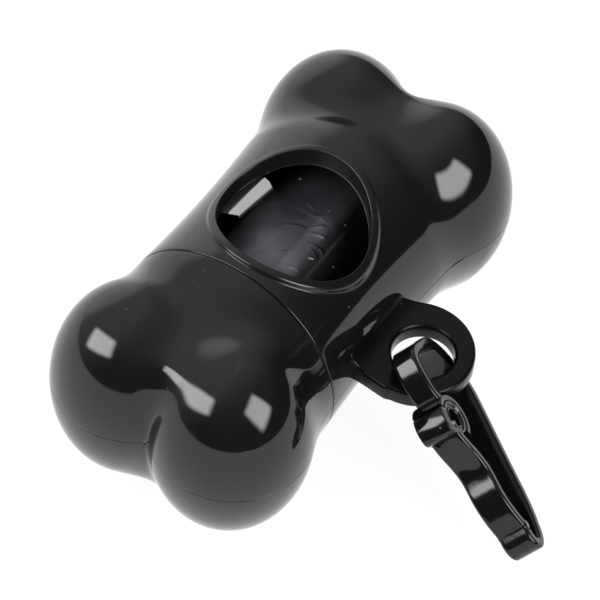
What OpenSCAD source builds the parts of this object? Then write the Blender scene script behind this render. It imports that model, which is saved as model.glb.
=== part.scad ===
// Bone-shaped holder for a roll of pet waste bags, with a snap clip on a side tab.
// X runs along the bone from the pull-off cap (-X) to the closed end (+X),
// Z points up through the bag hole, and the tab and clip are on the -Y side.
// The origin is the middle of the bag bay, on the plane where the shells part.

/* [Bone shell] */
// width of the bone's middle, side to side
waist_w = 38.2; // [37.4:0.1:40]
// height of the bone's middle
waist_h = 41.4; // [40.8:0.1:43]
// distance of the knob centres from the middle, along the bone
knob_x = 29.5; // [29:0.1:31]
// distance of the knob centres from the middle, sideways
knob_y = 9.4; // [9.2:0.1:9.8]
// radius of the four knobs seen from above
knob_r = 13.35; // [13.1:0.05:13.6]
// height of the knobs
knob_h = 38.3; // [37.6:0.1:40]
// how widely the knobs flow into the middle
knob_blend = 4.5; // [4.2:0.1:5.5]
// thickness of the moulded walls
wall = 1.8; // [1.5:0.1:1.9]

/* [Pull-off cap] */
// distance of the cap seam from the middle
seam_x = 15.9; // [15.7:0.1:16.2]
// open line between cap and body when shut
seam_gap = 0.12; // [0.1:0.02:0.3]
// how far the neck's outside lies inside the shell's wall
neck_inset = 2; // [1.9:0.05:2.3]
// wall of the neck
neck_wall = 1.4; // [1.1:0.1:1.5]
// length of the neck beyond the seam
neck_l = 3.3; // [2.8:0.1:3.5]
// length of the socket in the cap, ahead of the neck's snap bead
socket_l = 2; // [1.6:0.1:2.1]
// height of the snap bead on the neck
bead_h = 0.12; // [0.06:0.02:0.16]

/* [Bag hole] */
// diameter of the bag hole
hole_d = 24.8; // [23:0.1:25.2]
// width of the raised rim round the hole
rim_w = 1.35; // [1.2:0.05:1.4]
// height of the raised rim
rim_h = 0.8; // [0.5:0.05:1.1]
// depth of the hole's wall below the shell's outside
hole_depth = 3.1; // [2.9:0.1:3.6]

/* [Bag roll] */
// room between the roll and the neck that it goes in through
roll_room = 0.78; // [0.7:0.02:3]
// length of the roll
roll_l = 55; // [48:1:56]
// outside diameter of the card core
core_d = 12; // [9:0.5:14]
// wall of the card core
core_wall = 0.8; // [0.6:0.1:1.2]
// thickness of the folded film at the roll's loose edge
film_t = 0.3; // [0.2:0.05:0.5]

/* [Side tab] */
// thickness of the tab
tab_t = 3.6; // [3.4:0.1:3.8]
// radius of the tab's rounded end
tab_r = 9.35; // [9.2:0.05:9.5]
// diameter of the eye in the tab
eye_d = 10.2; // [10:0.05:10.5]
// rounding of the tab's edges
tab_round = 0.9; // [0.7:0.05:1.05]
// hollow rounding between the tab's top and the shell
fillet_r = 3.5; // [2.5:0.1:4.5]

/* [Snap clip] */
// thickness of the clip's strap
strap_t = 1.8; // [1.6:0.05:1.9]
// width of the clip's strap
strap_w = 5.3; // [4.8:0.1:5.4]
// outside diameter of the clip's catch
catch_d = 8.2; // [8:0.1:8.4]
// diameter of the gate's round head
head_d = 5.8; // [5.4:0.1:5.8]
// diameter of the hole through the gate's head
head_hole_d = 3; // [2.4:0.1:3.2]

/* [Joining pins] */
// diameter of the pins that join the shell halves
pin_d = 1.6; // [1.4:0.1:1.8]
// length of the pins above the joining face
pin_l = 3; // [2:0.1:3.6]
// diameter of the bosses round the pins
boss_d = 3.4; // [3.2:0.1:3.8]

/* [Fits] */
// radial play of the cap on its neck
neck_play = 0.06; // [0.04:0.01:0.1]
// radial play of the joining pins
pin_play = 0.05; // [0.03:0.01:0.1]
// radial play of the gate's hinge
hinge_play = 0.08; // [0.05:0.01:0.1]

/* [Hidden] */
$fn = 64;

// Bone surface: an oval middle that swells toward its ends, blended into two knobs.
waist_z = -0.35;
waist_swell = 0.14;
waist_swell_x = 31.8;
waist_flat_x = 14.5;
waist_end = 15.1;
knob_z = -0.6;
knob_side_blend = 1;
knob_top_blend = 8.5;
knob_top_z = 15;

// Distance to an oval ball, close to the true one near its skin.
function oval(p, a, b, c) =
    let (r = norm([p[0] / a, p[1] / b, p[2] / c]),
         g = norm([p[0] / (a * a), p[1] / (b * b), p[2] / (c * c)]))
    (r - 1) * r / max(g, 1e-9);

// The lower of two distances, rounded over the width k.
function blend(a, b, k) =
    let (h = max(0, min(1, 0.5 + 0.5 * (b - a) / k)))
    b * (1 - h) + a * h - k * h * (1 - h);

// Above zero outside the bone, below zero inside.
function pair_blend(z) =
    knob_side_blend + (knob_top_blend - knob_side_blend) * pow(min(1, abs(z) / knob_top_z), 2);

function bone(p) =
    let (x = abs(p[0]), y = abs(p[1]),
         swell = 1 + waist_swell * pow(min(1, x / waist_swell_x), 2),
         middle = oval([max(x - waist_flat_x, 0), y / swell, p[2] - waist_z],
                       waist_end, waist_w / 2, waist_h / 2),
         near = oval([x - knob_x, y - knob_y, p[2] - knob_z], knob_r, knob_r, knob_h / 2),
         far = oval([x - knob_x, y + knob_y, p[2] - knob_z], knob_r, knob_r, knob_h / 2))
    blend(blend(near, far, pair_blend(p[2])), middle, knob_blend);

// Where a ray from o along d meets the level of the bone's distance.
function reach(o, d, level = 0, lo = 0, hi = 60, n = 22) =
    n == 0 ? (lo + hi) / 2 :
    let (m = (lo + hi) / 2)
    bone(o + m * d) > level ? reach(o, d, level, lo, m, n - 1) : reach(o, d, level, m, hi, n - 1);

step = 0.02;
function unit(v) = v / norm(v);
function slope(p) = unit([
    bone(p + [step, 0, 0]) - bone(p - [step, 0, 0]),
    bone(p + [0, step, 0]) - bone(p - [0, step, 0]),
    bone(p + [0, 0, step]) - bone(p - [0, 0, step])]);

// Shell grid. Rows cross the bone, first square to X, then fanned about fan_x.
fan_inset = 4.4;
fan_x = knob_x - fan_inset;
fan_rows = 10;
turn = 6;
bevel = 0.16;
bevel_turn = 0.5;
angles = concat([0, bevel_turn], [for (a = [turn : turn : 180 - turn]) a], [180 - bevel_turn, 180]);
last = len(angles) - 1;

// A row is [x, tilt]: tilt 90 for rows square to X, less for the fan.
function straight_rows(from, to, count) = [for (i = [0 : count]) [from + (to - from) * i / count, 90]];
fan = [for (i = [1 : fan_rows - 1]) [fan_x, 90 * (1 - i / fan_rows)]];

function ray(row, a, side) = [cos(row[1]), sin(row[1]) * cos(a), side * sin(row[1]) * sin(a)];
function skin(row, a, side) =
    let (o = [row[0], 0, 0], d = ray(row, a, side)) o + reach(o, d) * d;

// Moves a skin point inward by t, within the plane of a flat edge where it lies on one.
function inward(p, t, flat_x, flat_z) =
    let (s = slope(p), n = [flat_x ? 0 : s[0], s[1], flat_z ? 0 : s[2]])
    p - t * n / (n * n);

function on_edge(j) = j == 0 || j == last;
function outer_point(rows, i, j, side) =
    let (p = skin(rows[i], angles[j], side), edge = i == 0 || on_edge(j))
    edge ? inward(p, bevel, i == 0 || rows[i][1] == 90, on_edge(j)) : p;
function inner_point(rows, i, j, side) =
    inward(skin(rows[i], angles[j], side), wall, rows[i][1] == 90, on_edge(j));

tip = [fan_x, 0, 0] + reach([fan_x, 0, 0], [1, 0, 0]) * [1, 0, 0];
tip_outer = tip - [bevel, 0, 0];
tip_inner = tip - [wall, 0, 0];

function quad(a, b, c, d) = [[a, b, c], [a, c, d]];
function flip(faces) = [for (f = faces) [f[2], f[1], f[0]]];
function joined(lists) = [for (l = lists) each l];

// Frame of the grid that the bag hole's own rings replace: rows i0 to i1, columns j0 to j1.
function frame_walk(i0, i1, j0, j1) = concat(
    [for (i = [i0 : i1 - 1]) [i, j0]],
    [for (j = [j0 : j1 - 1]) [i1, j]],
    [for (i = [i1 : -1 : i0 + 1]) [i, j1]],
    [for (j = [j1 : -1 : j0 + 1]) [i0, j]]);

// Bag hole
hole_x = -0.75;
hole_y = -0.74;
hole_r = hole_d / 2;
rim_r = hole_r + rim_w;
collar_w = 1.1;
// Rim section as [radius, height above the shell's outside].
rim_section = concat(
    [for (a = [0 : 30 : 180]) [hole_r + rim_w * (1 + cos(a)) / 2, rim_h * sin(a)]],
    [[hole_r, -hole_depth], [hole_r + collar_w * 0.8, -hole_depth]]);
collar_r = hole_r + collar_w;

function top_z(x, y, level = 0) = reach([x, y, 0], [0, 0, 1], level);
function around(r, a) = [hole_x + r * cos(a), hole_y + r * sin(a)];
function rim_point(s, a) = let (q = around(s[0], a)) [q[0], q[1], top_z(q[0], q[1]) + s[1]];
function between(p, q, f) = p + (q - p) * f;

// Point of the round mouth of radius r, seen from the origin at angle a.
neck_z = -0.4;
function mouth_point(x, r, a, side) =
    let (t = neck_z * side * sin(a) + sqrt(r * r - pow(neck_z * cos(a), 2)))
    [x, t * cos(a), side * t * sin(a)];

// Shell half from row 0 to the tip. side is 1 for the top and -1 for the bottom.
// A web of thickness web_t closes the wide end down to a round mouth of radius mouth_r.
// hole holds [i0, i1, j0, j1] where the bag hole goes, or is empty.
web_step = 0.24;
module half_shell(rows, side, mouth_r, web_t, hole = []) {
    count = len(rows);
    wide = last + 1;
    back = rows[0][0] + web_t;
    inner_rows = concat([[back, 90], [back + web_step, 90]], [for (i = [2 : count - 1]) rows[i]]);
    grid_outer = [for (i = [0 : count - 1]) for (j = [0 : last]) outer_point(rows, i, j, side)];
    grid_inner = [for (i = [0 : count - 1]) for (j = [0 : last]) inner_point(inner_rows, i, j, side)];
    mouths = [for (x = [rows[0][0], back]) for (a = angles) mouth_point(x, mouth_r, a, side)];
    inner_at = count * wide;
    mouth_at = 2 * count * wide;
    tip_at = mouth_at + 2 * wide;
    has_hole = len(hole) > 0;

    function out(i, j) = i * wide + j;
    function inn(i, j) = inner_at + i * wide + j;
    function mth(i, j) = mouth_at + i * wide + j;
    function open(i, j) = has_hole && i >= hole[0] && i < hole[1] && j >= hole[2] && j < hole[3];

    skins = joined([for (i = [0 : count - 2]) for (j = [0 : last - 1]) if (!open(i, j)) concat(
        quad(out(i, j), out(i + 1, j), out(i + 1, j + 1), out(i, j + 1)),
        quad(inn(i, j), inn(i, j + 1), inn(i + 1, j + 1), inn(i + 1, j)))]);
    tips = joined([for (j = [0 : last - 1]) [
        [out(count - 1, j), tip_at, out(count - 1, j + 1)],
        [inn(count - 1, j), inn(count - 1, j + 1), tip_at + 1]]]);
    web = joined([for (j = [0 : last - 1]) concat(
        quad(out(0, j), out(0, j + 1), mth(0, j + 1), mth(0, j)),
        quad(mth(0, j), mth(0, j + 1), mth(1, j + 1), mth(1, j)),
        quad(mth(1, j), mth(1, j + 1), inn(0, j + 1), inn(0, j)))]);
    sides = joined([for (i = [0 : count - 2]) concat(
        quad(out(i, 0), inn(i, 0), inn(i + 1, 0), out(i + 1, 0)),
        quad(out(i, last), out(i + 1, last), inn(i + 1, last), inn(i, last)))]);
    ends = concat(
        quad(out(0, 0), mth(0, 0), mth(1, 0), inn(0, 0)),
        quad(out(0, last), inn(0, last), mth(1, last), mth(0, last)),
        quad(out(count - 1, 0), inn(count - 1, 0), tip_at + 1, tip_at),
        quad(out(count - 1, last), tip_at, tip_at + 1, inn(count - 1, last)));

    // Rings from the frame in to the rim, down the hole's wall and back out inside.
    frame = has_hole ? frame_walk(hole[0], hole[1], hole[2], hole[3]) : [];
    size = len(frame);
    frame_outer = [for (c = frame) grid_outer[out(c[0], c[1])]];
    frame_inner = [for (c = frame) grid_inner[out(c[0], c[1])]];
    bearing = [for (p = frame_outer) atan2(p[1] - hole_y, p[0] - hole_x)];
    spread = [0.68, 0.36];
    shrink_outer = [for (f = spread) [for (k = [0 : size - 1])
        let (q = around(rim_r, bearing[k]),
             m = between(q, [frame_outer[k][0], frame_outer[k][1]], f))
        [m[0], m[1], top_z(m[0], m[1])]]];
    rims = [for (s = rim_section) [for (k = [0 : size - 1]) rim_point(s, bearing[k])]];
    shrink_inner = [for (f = [0, spread[1], spread[0]]) [for (k = [0 : size - 1])
        let (q = around(collar_r, bearing[k]),
             m = between(q, [frame_inner[k][0], frame_inner[k][1]], f))
        [m[0], m[1], top_z(m[0], m[1], -wall)]]];
    rings = concat(shrink_outer, rims, shrink_inner);
    ring_at = tip_at + 2;

    function ring(r, k) =
        r < 0 ? out(frame[k % size][0], frame[k % size][1]) :
        r >= len(rings) ? inn(frame[k % size][0], frame[k % size][1]) :
        ring_at + r * size + k % size;
    patch = has_hole ? joined([for (r = [-1 : len(rings) - 1]) for (k = [0 : size - 1])
        quad(ring(r, k), ring(r, k + 1), ring(r + 1, k + 1), ring(r + 1, k))]) : [];

    faces = concat(skins, tips, web, sides, ends, flip(patch));
    polyhedron(points = concat(grid_outer, grid_inner, mouths, [tip_outer, tip_inner], joined(rings)),
               faces = side > 0 ? faces : flip(faces), convexity = 10);
}

// Body rows run from the seam to +X, with rows kept at the bag hole's frame.
frame_margin = 0.75;
far_margin = 1.2;
row_gap = 2;
body_x = -(seam_x - seam_gap / 2);
frame_x0 = hole_x - rim_r - frame_margin;
frame_x1 = hole_x + rim_r + far_margin;
body_rows = concat([[body_x, 90]],
    straight_rows(frame_x0, frame_x1, 12), straight_rows(frame_x1 + row_gap, fan_x, 4), fan);
frame_turns = 9;
middle = last / 2;
body_hole = [1, 13, middle - frame_turns, middle + frame_turns];

// Cap rows run the same way and the finished half is mirrored onto -X.
cap_x = seam_x + seam_gap / 2;
first_row = 0.2;
cap_rows = concat([[cap_x, 90]], straight_rows(cap_x + first_row, fan_x, 5), fan);

// Neck and socket, turned about the line neck_z.
neck_r = min(waist_w, waist_h) / 2 - wall - neck_inset;
bead_r = neck_r + bead_h;
bead_w = 0.8;
bead_x = socket_l + bead_w / 2 + 0.1;
web_t = 1;
neck_root = web_t + 0.4;
socket_r = bead_r + neck_play;
socket_wall = 1;
socket_in = 0.1;

// A ring section turned about the X direction, cut to one side of the parting plane.
module turned(side) {
    big = 2 * waist_w;
    intersection() {
        translate([0, 0, neck_z]) rotate([0, -90, 0]) rotate_extrude() children();
        translate([-seam_x - big / 2, -big / 2, side > 0 ? 0 : -big]) cube(big);
    }
}

// Sections are [radius, distance from the middle toward the cap].
module neck_section() {
    translate([neck_r - neck_wall, seam_x - neck_root]) square([neck_wall, neck_l + neck_root]);
    translate([bead_r - bead_w / 2, seam_x + bead_x]) circle(d = bead_w);
}

module socket_section() {
    translate([socket_r, seam_x + socket_in]) square([socket_wall, socket_l - socket_in]);
}

module neck(side) turned(side) neck_section();
module socket(side) turned(side) socket_section();

// Joining pins: [x, y] of each, body then cap.
pin_inset = waist_w / 2 - 2.9;
body_pin_x = 10;
body_pins = [for (x = [-body_pin_x, body_pin_x]) for (s = [-1, 1]) [x, s * pin_inset]];
pin_reach = knob_r - wall - boss_d / 2 + 0.6;
knob_pins = [for (s = [-1, 1]) [knob_x + pin_reach * cos(42), s * (knob_y + pin_reach * sin(42))]];
boss_h = 5;

module bosses(places, side) {
    for (p = places) translate([p[0], p[1], side > 0 ? 0 : -boss_h]) cylinder(d = boss_d, h = boss_h);
}

module pins(places) {
    for (p = places) translate([p[0], p[1], -1]) cylinder(d = pin_d, h = pin_l + 1);
}

module pin_holes(places) {
    for (p = places) translate([p[0], p[1], -1]) cylinder(d = pin_d + 2 * pin_play, h = pin_l + 1.3);
}

// Tab
tab_x = -0.6;
tab_y = -25.5;
eye_x = -0.7;
eye_y = -26.7;
root_y = -(waist_w / 2 - wall * 0.8);
root_far_x = 4;
fillet_z = tab_t + fillet_r;
fillet_y = -reach([tab_x, 0, fillet_z], [0, -1, 0], fillet_r);
fillet_top = fillet_z - fillet_r * slope([tab_x, fillet_y, fillet_z])[2];

module rounded_bar(w, t, r) {
    translate([0, r]) square([w, t - 2 * r]);
    translate([0, 0]) square([w - r, t]);
    translate([w - r, r]) circle(r);
    translate([w - r, t - r]) circle(r);
}

module tab_blank() {
    translate([tab_x, tab_y, 0]) rotate_extrude() rounded_bar(tab_r, tab_t, tab_round);
    translate([tab_x, tab_y, 0]) rotate([0, 0, 180]) rotate([90, 0, 0])
        translate([0, 0, 0]) linear_extrude(root_y - tab_y) rounded_bar(tab_r, tab_t, tab_round);
    translate([tab_x, tab_y, 0]) cube([root_far_x - tab_x, root_y - tab_y, tab_t]);
    difference() {
        translate([tab_x - tab_r + tab_round, fillet_y, tab_t / 2])
            cube([root_far_x - tab_x + tab_r - tab_round, root_y - fillet_y, fillet_top - tab_t / 2]);
        translate([0, fillet_y, fillet_z]) rotate([0, 90, 0])
            cylinder(r = fillet_r, h = 3 * tab_r, center = true);
    }
}

module eye_cut() {
    eye_r = eye_d / 2;
    translate([eye_x, eye_y, 0]) rotate_extrude() difference() {
        translate([0, -1]) square([eye_r + tab_round, tab_t + 2]);
        translate([eye_r + tab_round, tab_round]) circle(tab_round);
        translate([eye_r + tab_round, tab_t - tab_round]) circle(tab_round);
        translate([eye_r, tab_round]) square([2 * tab_round, tab_t - 2 * tab_round]);
    }
}

module tab() {
    difference() {
        tab_blank();
        eye_cut();
    }
}

module body_top_shell() {
    color("#1b1c1e") difference() {
        union() {
            half_shell(body_rows, 1, neck_r - neck_wall / 2, web_t, body_hole);
            neck(1);
            bosses(concat(body_pins, knob_pins), 1);
            tab();
        }
        pin_holes(concat(body_pins, knob_pins));
    }
}

module body_bottom_shell() {
    color("#222326") union() {
        half_shell(body_rows, -1, neck_r - neck_wall / 2, web_t);
        neck(-1);
        bosses(concat(body_pins, knob_pins), -1);
        pins(concat(body_pins, knob_pins));
    }
}

module cap_top_shell() {
    color("#2a2b2e") difference() {
        union() {
            mirror([1, 0, 0]) half_shell(cap_rows, 1, socket_r + socket_wall / 2, web_t);
            socket(1);
            mirror([1, 0, 0]) bosses(knob_pins, 1);
        }
        mirror([1, 0, 0]) pin_holes(knob_pins);
    }
}

module cap_bottom_shell() {
    color("#313236") union() {
        mirror([1, 0, 0]) half_shell(cap_rows, -1, socket_r + socket_wall / 2, web_t);
        socket(-1);
        mirror([1, 0, 0]) bosses(knob_pins, -1);
        mirror([1, 0, 0]) pins(knob_pins);
    }
}

// Bag roll
roll_z = -0.6;
roll_d = 2 * (neck_r - neck_wall - roll_room);
roll_turn = 6;
loose_edge = 205;
film_spiral = [for (a = [0 : roll_turn : 360])
    (roll_d / 2 - film_t * a / 360) * [cos(a + loose_edge), sin(a + loose_edge)]];

module along_roll() {
    translate([-roll_l / 2, 0, roll_z]) rotate([90, 0, 90]) linear_extrude(roll_l) children();
}

module bag_roll() {
    color("#3c4046") along_roll() difference() {
        polygon(film_spiral);
        circle(d = core_d);
    }
}

module roll_core() {
    color("#b08d5e") along_roll() difference() {
        circle(d = core_d);
        circle(d = core_d - 2 * core_wall);
    }
}

// Clip, drawn flat in s and t and then set through the eye.
// s runs along the clip away from the tab, t across it and w along the strap's width.
clip_rest = [-0.3, -0.5, -0.15];
clip_at = [eye_x, eye_y, tab_t / 2] + clip_rest;
clip_s = unit([-0.3944, -0.8372, -0.3787]);
clip_t0 = [-0.7526, 0.0578, 0.656];
clip_t = unit(clip_t0 - (clip_t0 * clip_s) * clip_s);
clip_w = cross(clip_s, clip_t);
clip_lift = -0.2;
clip_set = [
    [clip_s[0], clip_t[0], clip_w[0], clip_at[0]],
    [clip_s[1], clip_t[1], clip_w[1], clip_at[1]],
    [clip_s[2], clip_t[2], clip_w[2], clip_at[2]],
    [0, 0, 0, 1]];

catch_c = [10.9, 6.3];
catch_r = catch_d / 2;
head_r = head_d / 2;
head_play = 0.1;
hinge_c = [30.7, 0.3];
hook_route = [[7.95, 8.3], [6.3, 8.8], [4.2, 8.7], [1.8, 7.8], [-0.5, 6.1], [-1.9, 3.8], [-2.3, 1.3],
    [-1.2, -1.1], [1.5, -3.5], [4.8, -5], [7.8, -5.3], [10.6, -5.2], [13.6, -5], [17.3, -4.8],
    [21.3, -4.6], [25, -4.5], [28.5, -4.4], [30.8, -4], [32.8, -3.3], [34, -2], [33.7, -0.6],
    [32.5, 0.2], [31.1, 0.35]];
gate_route = [[30.7, 0.3], [29.2, 1], [27.5, 1.8], [24, 2.8], [20.6, 3.4], [17.3, 4.4], [15, 5.7],
    [13.3, 6.7], [11.6, 6.6]];
lip_turn = 124;
catch_end_turn = 327;

// Point at share f between b and c on a curve through a, b, c and d.
function curve(a, b, c, d, f) = 0.5 * (2 * b + (c - a) * f + (2 * a - 5 * b + 4 * c - d) * f * f
    + (3 * b - a - 3 * c + d) * f * f * f);
function smooth(route, parts) = let (n = len(route) - 1) concat(
    [for (i = [0 : n - 1]) for (k = [0 : parts - 1])
        curve(route[max(i - 1, 0)], route[i], route[i + 1], route[min(i + 2, n)], k / parts)],
    [route[n]]);
function heading(line, i) =
    unit(line[min(i + 1, len(line) - 1)] - line[max(i - 1, 0)]);

// Strap section as [across, along w], with bevelled corners.
strap_bevel = 0.4;
function strap_section(t, w) = let (a = t / 2, b = w / 2, c = strap_bevel) [
    [a, -b + c], [a, b - c], [a - c, b], [-a + c, b], [-a, b - c], [-a, -b + c], [-a + c, -b], [a - c, -b]];

module strap(route, parts, t, w) {
    line = smooth(route, parts);
    section = strap_section(t, w);
    sides = len(section);
    n = len(line);
    points = joined([for (i = [0 : n - 1])
        let (h = heading(line, i), across = [-h[1], h[0]])
        [for (q = section) [line[i][0] + across[0] * q[0], line[i][1] + across[1] * q[0], q[1]]]]);
    walls = joined([for (i = [0 : n - 2]) for (k = [0 : sides - 1])
        let (m = (k + 1) % sides)
        quad(i * sides + k, (i + 1) * sides + k, (i + 1) * sides + m, i * sides + m)]);
    lids = [for (k = [1 : sides - 2]) each [[0, k, k + 1],
        [(n - 1) * sides, (n - 1) * sides + k + 1, (n - 1) * sides + k]]];
    polyhedron(points = points, faces = concat(walls, lids), convexity = 10);
}

module set_clip() {
    multmatrix(clip_set) translate([0, 0, clip_lift]) children();
}

module slab(w) {
    translate([0, 0, -w / 2]) linear_extrude(w) children();
}

// Room that the head sweeps as the gate swings open about its hinge.
gate_open = 24;
module head_sweep(r) {
    for (a = [0 : 4 : gate_open]) translate(hinge_c) rotate(-a) translate(catch_c - hinge_c) circle(r);
}

// The catch is a cup that is open where the gate's strap leaves it.
module catch_outline() {
    mid = (lip_turn + catch_end_turn) / 2;
    translate(catch_c) intersection() {
        circle(catch_r);
        polygon([[0, 0], for (a = [lip_turn, (lip_turn + mid) / 2, mid, (mid + catch_end_turn) / 2,
            catch_end_turn]) 2 * catch_r * [cos(a), sin(a)]]);
    }
}

hinge_r = 0.9;
module hinge_seat() {
    translate(hinge_c) circle(hinge_r + hinge_play);
}

module clip_hook() {
    color("#17181a") set_clip() difference() {
        union() {
            strap(hook_route, 3, strap_t, strap_w);
            slab(strap_w) catch_outline();
        }
        slab(strap_w + 2) hinge_seat();
        slab(strap_w + 2) head_sweep(head_r + head_play);
    }
}

module clip_gate() {
    color("#26272a") set_clip() difference() {
        union() {
            strap(gate_route, 2, strap_t * 0.85, strap_w);
            slab(strap_w) translate(hinge_c) circle(hinge_r);
            slab(strap_w) translate(catch_c) circle(head_r);
        }
        slab(strap_w + 2) translate(catch_c) circle(d = head_hole_d);
    }
}

body_top_shell();
body_bottom_shell();
cap_top_shell();
cap_bottom_shell();
bag_roll();
roll_core();
clip_hook();
clip_gate();
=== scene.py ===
import bmesh
import bpy
import math
import numpy as np
from mathutils import Matrix, Quaternion, Vector


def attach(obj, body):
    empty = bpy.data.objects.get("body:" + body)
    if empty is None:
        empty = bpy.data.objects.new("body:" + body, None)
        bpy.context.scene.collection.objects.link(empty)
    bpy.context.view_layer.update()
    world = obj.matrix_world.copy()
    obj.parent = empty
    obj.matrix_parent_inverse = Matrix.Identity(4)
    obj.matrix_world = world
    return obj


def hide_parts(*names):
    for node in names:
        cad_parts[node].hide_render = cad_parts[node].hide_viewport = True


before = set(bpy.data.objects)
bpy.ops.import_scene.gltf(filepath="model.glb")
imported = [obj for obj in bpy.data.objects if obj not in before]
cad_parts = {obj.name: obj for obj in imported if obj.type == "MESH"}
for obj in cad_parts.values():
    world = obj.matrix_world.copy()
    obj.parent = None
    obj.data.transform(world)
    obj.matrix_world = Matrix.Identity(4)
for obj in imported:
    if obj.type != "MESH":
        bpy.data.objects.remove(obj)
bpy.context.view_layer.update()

mm = 0.001
fine = 1.0

# Lengths below are in millimetres until a mesh is made.
boneShape = {
    "waistHalfWidth": 19.1, "waistHalfHeight": 20.7, "waistZ": -0.35, "waistFlatX": 14.5,
    "waistEnd": 15.1, "waistSwell": 0.14, "waistSwellX": 31.8,
    "knobX": 29.5, "knobY": 9.4, "knobZ": -0.6, "knobRadius": 13.35, "knobHalfHeight": 19.15,
    "blend": 4.5, "sideBlend": 1.0, "topBlend": 8.5, "topZ": 15.0, "wall": 1.8,
}


def ovalDistance(x, y, z, a, b, c):
    r = np.sqrt((x / a) ** 2 + (y / b) ** 2 + (z / c) ** 2)
    g = np.sqrt((x / a**2) ** 2 + (y / b**2) ** 2 + (z / c**2) ** 2)
    return (r - 1) * r / np.maximum(g, 1e-9)


def smoothMin(a, b, k):
    h = np.clip(0.5 + 0.5 * (b - a) / k, 0, 1)
    return b * (1 - h) + a * h - k * h * (1 - h)


def boneDistance(p):
    s = boneShape
    x, y, z = np.abs(p[..., 0]), np.abs(p[..., 1]), p[..., 2]
    swell = 1 + s["waistSwell"] * np.minimum(x / s["waistSwellX"], 1) ** 2
    waist = ovalDistance(np.maximum(x - s["waistFlatX"], 0), y / swell, z - s["waistZ"],
                         s["waistEnd"], s["waistHalfWidth"], s["waistHalfHeight"])
    near = ovalDistance(x - s["knobX"], y - s["knobY"], z - s["knobZ"],
                        s["knobRadius"], s["knobRadius"], s["knobHalfHeight"])
    far = ovalDistance(x - s["knobX"], -y - s["knobY"], z - s["knobZ"],
                       s["knobRadius"], s["knobRadius"], s["knobHalfHeight"])
    pair = s["sideBlend"] + (s["topBlend"] - s["sideBlend"]) * np.minimum(np.abs(z) / s["topZ"], 1) ** 2
    return smoothMin(smoothMin(near, far, pair), waist, s["blend"])


def unit(v):
    return v / np.maximum(np.linalg.norm(v, axis=-1, keepdims=True), 1e-12)


def boneNormal(p, step=0.01):
    return unit(np.stack([boneDistance(p + step * e) - boneDistance(p - step * e) for e in np.eye(3)], -1))


# How far along each ray the bone's surface, or a level inside it, is met
def reach(origin, direction, level=0.0, far=60.0):
    origin, direction = np.broadcast_arrays(np.asarray(origin, float), np.asarray(direction, float))
    low, high = np.zeros(origin.shape[:-1]), np.full(origin.shape[:-1], far)
    for _ in range(36):
        mid = (low + high) / 2
        outside = boneDistance(origin + mid[..., None] * direction) > level
        high, low = np.where(outside, mid, high), np.where(outside, low, mid)
    return (low + high) / 2


# Gathers grids of points into one mesh
class Mould:
    def __init__(self):
        self.points, self.faces, self.count = [], [], 0

    def add(self, points):
        points = np.asarray(points, float)
        start = self.count
        self.points.append(points.reshape(-1, 3))
        self.count += self.points[-1].shape[0]
        return start + np.arange(self.count - start).reshape(points.shape[:-1])

    def skin(self, ids, flip=False, wrap=False, keep=None):
        a, b = ids, np.roll(ids, -1, axis=1)
        if not wrap:
            a, b = ids[:, :-1], ids[:, 1:]
        quads = np.stack([a[:-1], b[:-1], b[1:], a[1:]], -1)
        if keep is not None:  # cells left out, such as where the hole goes
            quads = quads[keep]
        quads = quads.reshape(-1, 4)
        self.faces.append(quads[:, ::-1] if flip else quads)

    def fan(self, centre, ring, flip=False, wrap=True):
        ring = np.asarray(ring)
        nxt = np.roll(ring, -1)
        if not wrap:
            ring, nxt = ring[:-1], nxt[:-1]
        tri = np.stack([np.full(len(ring), centre), ring, nxt, nxt], -1)
        self.faces.append(tri[:, [0, 2, 1, 1]] if flip else tri)


def makePiece(name, mould, body, material, sharp=38, replaced=()):
    points = np.concatenate(mould.points) * mm
    faces = [tuple(dict.fromkeys(int(i) for i in f)) for part in mould.faces for f in part]
    mesh = bpy.data.meshes.new(name)
    mesh.from_pydata(points.tolist(), [], [f for f in faces if len(f) > 2])
    mesh.validate()
    bm = bmesh.new()
    bm.from_mesh(mesh)
    bmesh.ops.remove_doubles(bm, verts=bm.verts, dist=2e-6)
    bmesh.ops.recalc_face_normals(bm, faces=bm.faces)
    bm.to_mesh(mesh)
    bm.free()
    mesh.shade_smooth()
    mesh.set_sharp_from_angle(angle=math.radians(sharp))
    mesh.materials.append(material)
    obj = bpy.data.objects.new(name, mesh)
    bpy.context.scene.collection.objects.link(obj)
    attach(obj, body)
    if replaced:
        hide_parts(*replaced)
    print("made", name, len(mesh.polygons), "faces")


# A shader socket that takes part in arithmetic
class Sock:
    def __init__(self, tree, socket):
        self.tree, self.socket = tree, socket

    def math(self, operation, other, swap=False):
        node = self.tree.nodes.new("ShaderNodeMath")
        node.operation = operation
        for place, value in enumerate((other, self) if swap else (self, other)):
            if isinstance(value, Sock):
                self.tree.links.new(value.socket, node.inputs[place])
            else:
                node.inputs[place].default_value = value
        return Sock(self.tree, node.outputs[0])

    def __add__(self, other): return self.math("ADD", other)
    def __radd__(self, other): return self.math("ADD", other, True)
    def __sub__(self, other): return self.math("SUBTRACT", other)
    def __rsub__(self, other): return self.math("SUBTRACT", other, True)
    def __mul__(self, other): return self.math("MULTIPLY", other)
    def __rmul__(self, other): return self.math("MULTIPLY", other, True)
    def __truediv__(self, other): return self.math("DIVIDE", other)
    def __rtruediv__(self, other): return self.math("DIVIDE", other, True)


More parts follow.
